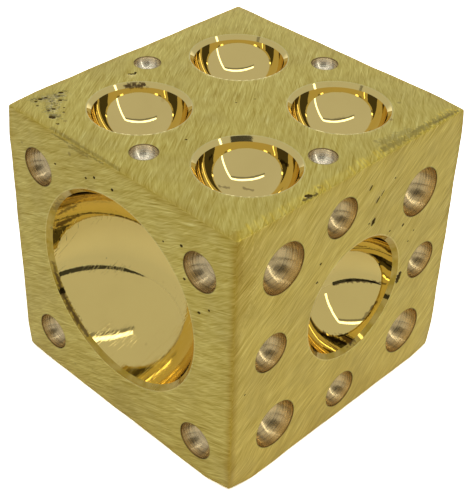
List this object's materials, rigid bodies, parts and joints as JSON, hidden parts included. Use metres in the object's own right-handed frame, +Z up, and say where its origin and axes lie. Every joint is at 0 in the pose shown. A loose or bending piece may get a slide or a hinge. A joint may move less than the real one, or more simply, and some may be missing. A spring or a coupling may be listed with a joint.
{
  "type": "dapping block",
  "caption": "Solid brass dapping block: a hand-dressed cube with graduated round hollows in all its faces, for doming sheet metal with punches.",
  "frame": {"origin": "middle of the underside, on the surface that the block rests on", "axes": "+Z up; the face with the single largest bowl looks along -Y, the face with one bowl ringed by eight dimples looks along +X, and the face with four bowls is on top"},
  "size_m": [0.05, 0.0514, 0.049],
  "materials": {
    "brass": "linished faces with fine scratches, mirror-polished bowls and bare machined dimples"
  },
  "bodies": {
    "root": {"dapping_block": "brass"}
  },
  "joints": []
}
